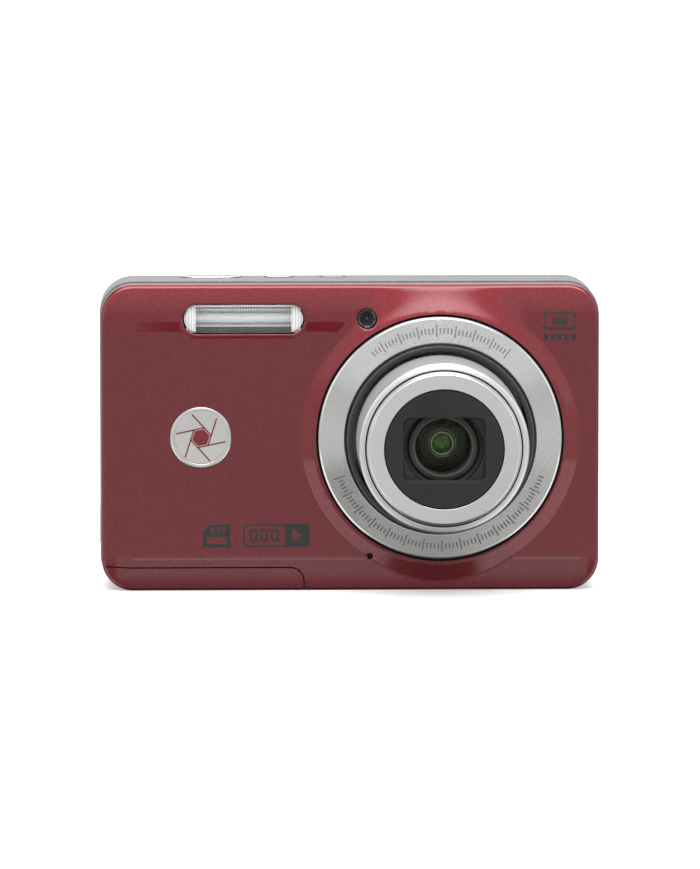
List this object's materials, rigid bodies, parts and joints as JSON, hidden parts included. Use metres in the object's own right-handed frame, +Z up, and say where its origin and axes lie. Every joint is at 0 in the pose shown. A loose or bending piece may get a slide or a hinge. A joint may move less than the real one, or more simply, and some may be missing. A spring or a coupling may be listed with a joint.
{
  "type": "compact digital camera",
  "caption": "Pocket digital camera: rounded box body with an extended telescopic zoom lens, flash, rear screen with keys and a bottom battery door.",
  "frame": {"origin": "bottom face, middle of the body's width, 11.45 mm in front of the flat back", "axes": "+X to the right seen from the front, lens points along -Y, +Z up"},
  "size_m": [0.0916, 0.0412, 0.0568],
  "materials": {
    "red_paint": "metallic red paint under clear coat, fine sparkle",
    "silver_paint": "satin silver-grey metallic paint",
    "satin_metal": "satin anodised, finely turned",
    "bright_trim": "bright plated plastic",
    "black_plastic": "fine matt grain",
    "dark_grey_plastic": "matt dark grey",
    "optical_glass": "green coated optical glass",
    "clear_plastic": "clear polycarbonate with fine ribs",
    "screen": "glossy black display window",
    "steel": "bright rolled or machined steel",
    "circuit_board": "green solder mask",
    "battery_can": "dark grey printed sleeve",
    "reflector": "polished reflector",
    "rubber": "soft matt rubber"
  },
  "bodies": {
    "root": {"front_cover": "red_paint", "rear_cover": "silver_paint", "badge_plate": "satin_metal", "lens_bezel_ring": "satin_metal", "lens_base_barrel": "black_plastic", "sensor_plate": "steel", "image_sensor": "dark_grey_plastic", "zoom_motor": "steel", "flash_window": "clear_plastic", "flash_reflector": "reflector", "flash_tube": "clear_plastic", "flash_capacitor": "black_plastic", "lamp_window": "dark_grey_plastic", "microphone": "steel", "speaker": "black_plastic", "main_board": "circuit_board", "rear_switch_board": "circuit_board", "top_switch_board": "circuit_board", "lcd_panel": "black_plastic", "lcd_window": "screen", "status_led": "clear_plastic", "battery_holder": "black_plastic", "battery": "battery_can", "card_socket": "steel", "door_hinge_pin": "steel", "tripod_bush": "steel", "strap_lug": "steel", "usb_socket": "steel", "screw_bottom_middle": "steel", "screw_bottom_right": "steel", "screw_right_lower": "steel", "screw_right_upper": "steel"},
    "cam_barrel": {"cam_barrel": "dark_grey_plastic"},
    "outer_barrel": {"outer_barrel": "satin_metal"},
    "inner_barrel": {"inner_barrel": "satin_metal", "lens_front_plate": "black_plastic", "front_lens_mount": "black_plastic", "front_lens": "optical_glass"},
    "barrier_upper": {"barrier_blade_upper": "black_plastic"},
    "barrier_lower": {"barrier_blade_lower": "black_plastic"},
    "zoom_group": {"zoom_lens_mount": "black_plastic", "zoom_lens": "optical_glass"},
    "focus_group": {"focus_lens_mount": "black_plastic", "focus_lens": "optical_glass"},
    "shutter_button": {"shutter_button": "bright_trim"},
    "power_button": {"power_button": "bright_trim"},
    "movie_button": {"movie_button": "bright_trim"},
    "menu_button": {"menu_button": "silver_paint"},
    "mode_button": {"mode_button": "silver_paint"},
    "playback_button": {"playback_button": "silver_paint"},
    "delete_button": {"delete_button": "silver_paint"},
    "direction_pad": {"direction_pad": "silver_paint"},
    "ok_button": {"ok_button": "silver_paint"},
    "zoom_rocker": {"zoom_rocker": "silver_paint"},
    "battery_latch": {"battery_latch": "steel"},
    "battery_door_plate": {"battery_door_plate": "steel"},
    "battery_door": {"battery_door": "red_paint"},
    "port_cover": {"port_cover": "rubber"},
    "memory_card": {"memory_card": "black_plastic"}
  },
  "joints": [
    {"name": "lens_extension", "type": "slide", "parent": "root", "child": "outer_barrel", "axis": [0, -1, 0], "range_m": [-0.0167, 0]},
    {"name": "cam_barrel_slide", "type": "slide", "parent": "root", "child": "cam_barrel", "axis": [0, -1, 0], "range_m": [-0.0015, 0]},
    {"name": "focus_slide", "type": "slide", "parent": "root", "child": "focus_group", "axis": [0, -1, 0], "range_m": [-0.0061, 0]},
    {"name": "lens_zoom", "type": "slide", "parent": "outer_barrel", "child": "inner_barrel", "axis": [0, -1, 0], "range_m": [0, 0.0045]},
    {"name": "zoom_group_slide", "type": "slide", "parent": "inner_barrel", "child": "zoom_group", "axis": [0, -1, 0], "range_m": [0, 0.0019]},
    {"name": "barrier_close", "type": "slide", "parent": "inner_barrel", "child": "barrier_upper", "axis": [0, 0, -1], "range_m": [0, 0.0057]},
    {"name": "barrier_lower_close", "type": "slide", "parent": "inner_barrel", "child": "barrier_lower", "axis": [0, 0, 1], "range_m": [0, 0.0057]},
    {"name": "shutter_press", "type": "slide", "parent": "root", "child": "shutter_button", "axis": [0, 0, -1], "range_m": [0, 0.0005], "stiffness_N_per_m": 400},
    {"name": "power_press", "type": "slide", "parent": "root", "child": "power_button", "axis": [0, 0, -1], "range_m": [0, 0.0004], "stiffness_N_per_m": 400},
    {"name": "movie_press", "type": "slide", "parent": "root", "child": "movie_button", "axis": [0, 0, -1], "range_m": [0, 0.0004], "stiffness_N_per_m": 400},
    {"name": "menu_press", "type": "slide", "parent": "root", "child": "menu_button", "axis": [0, -1, 0], "range_m": [0, 0.0004], "stiffness_N_per_m": 400},
    {"name": "mode_press", "type": "slide", "parent": "root", "child": "mode_button", "axis": [0, -1, 0], "range_m": [0, 0.0004], "stiffness_N_per_m": 400},
    {"name": "playback_press", "type": "slide", "parent": "root", "child": "playback_button", "axis": [0, -1, 0], "range_m": [0, 0.0004], "stiffness_N_per_m": 400},
    {"name": "delete_press", "type": "slide", "parent": "root", "child": "delete_button", "axis": [0, -1, 0], "range_m": [0, 0.0004], "stiffness_N_per_m": 400},
    {"name": "pad_tilt", "type": "hinge", "parent": "root", "child": "direction_pad", "pos_m": [-0.0305, 0.01025, 0.0244], "axis": [1, 0, 0], "range_deg": [-2.5, 2.5], "stiffness_Nm_per_rad": 0.05},
    {"name": "ok_press", "type": "slide", "parent": "root", "child": "ok_button", "axis": [0, -1, 0], "range_m": [0, 0.0004], "stiffness_N_per_m": 400},
    {"name": "zoom_rock", "type": "hinge", "parent": "root", "child": "zoom_rocker", "pos_m": [-0.0305, 0.0109, 0.0476], "axis": [0, 0, 1], "range_deg": [-3.5, 3.5], "stiffness_Nm_per_rad": 0.05},
    {"name": "door_hinge", "type": "hinge", "parent": "root", "child": "battery_door_plate", "pos_m": [-0.011, 0, 0.0012], "axis": [0, -1, 0], "range_deg": [0, 85]},
    {"name": "door_slide", "type": "slide", "parent": "battery_door_plate", "child": "battery_door", "axis": [-1, 0, 0], "range_m": [0, 0.002]},
    {"name": "latch_slide", "type": "slide", "parent": "root", "child": "battery_latch", "axis": [0, -1, 0], "range_m": [0, 0.0015], "stiffness_N_per_m": 200},
    {"name": "port_cover_hinge", "type": "hinge", "parent": "root", "child": "port_cover", "pos_m": [-0.0453, 0.0051, 0.0369], "axis": [0, -1, 0], "range_deg": [0, 90]},
    {"name": "card_push", "type": "slide", "parent": "root", "child": "memory_card", "axis": [0, 0, 1], "range_m": [0, 0.001], "stiffness_N_per_m": 300}
  ],
  "couplings": [
    {"joint": "cam_barrel_slide", "follows": "lens_extension", "ratio": 0.0868},
    {"joint": "focus_slide", "follows": "lens_extension", "ratio": 0.3593},
    {"joint": "zoom_group_slide", "follows": "lens_zoom", "ratio": 0.4},
    {"joint": "barrier_lower_close", "follows": "barrier_close", "ratio": 1}
  ]
}
